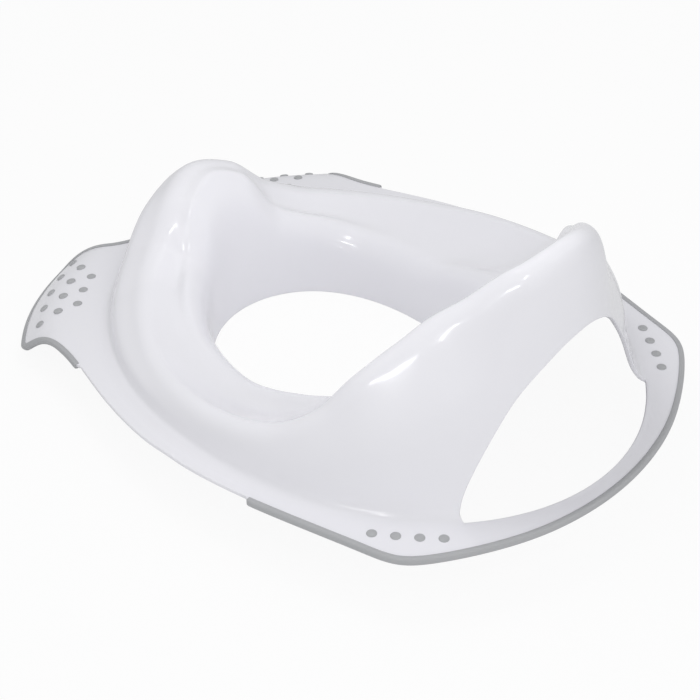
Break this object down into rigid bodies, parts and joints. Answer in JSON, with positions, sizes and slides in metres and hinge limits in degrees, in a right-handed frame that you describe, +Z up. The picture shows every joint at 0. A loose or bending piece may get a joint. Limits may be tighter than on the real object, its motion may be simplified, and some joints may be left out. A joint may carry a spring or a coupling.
{
  "type": "potty training seat",
  "caption": "Moulded toddler toilet seat insert: splash guard in front, raised back rest with arched hand hole, bowl skirt below, soft grey rims and grip studs on the flange.",
  "frame": {"origin": "middle of the bounding box, on the ground at the bowl skirt's lower edge", "axes": "+X towards the seated child's left, +Y from the splash guard to the back rest, +Z up"},
  "size_m": [0.2994, 0.4064, 0.1722],
  "materials": {
    "shell_plastic": "smooth glossy moulding",
    "grip_rubber": "soft matt, two-shot moulded"
  },
  "bodies": {
    "root": {"seat_shell": "shell_plastic", "rear_grip_rim": "grip_rubber", "front_grip_rim": "grip_rubber", "left_front_grip_studs": "grip_rubber", "right_front_grip_studs": "grip_rubber", "left_rear_grip_studs": "grip_rubber", "right_rear_grip_studs": "grip_rubber"}
  },
  "joints": []
}
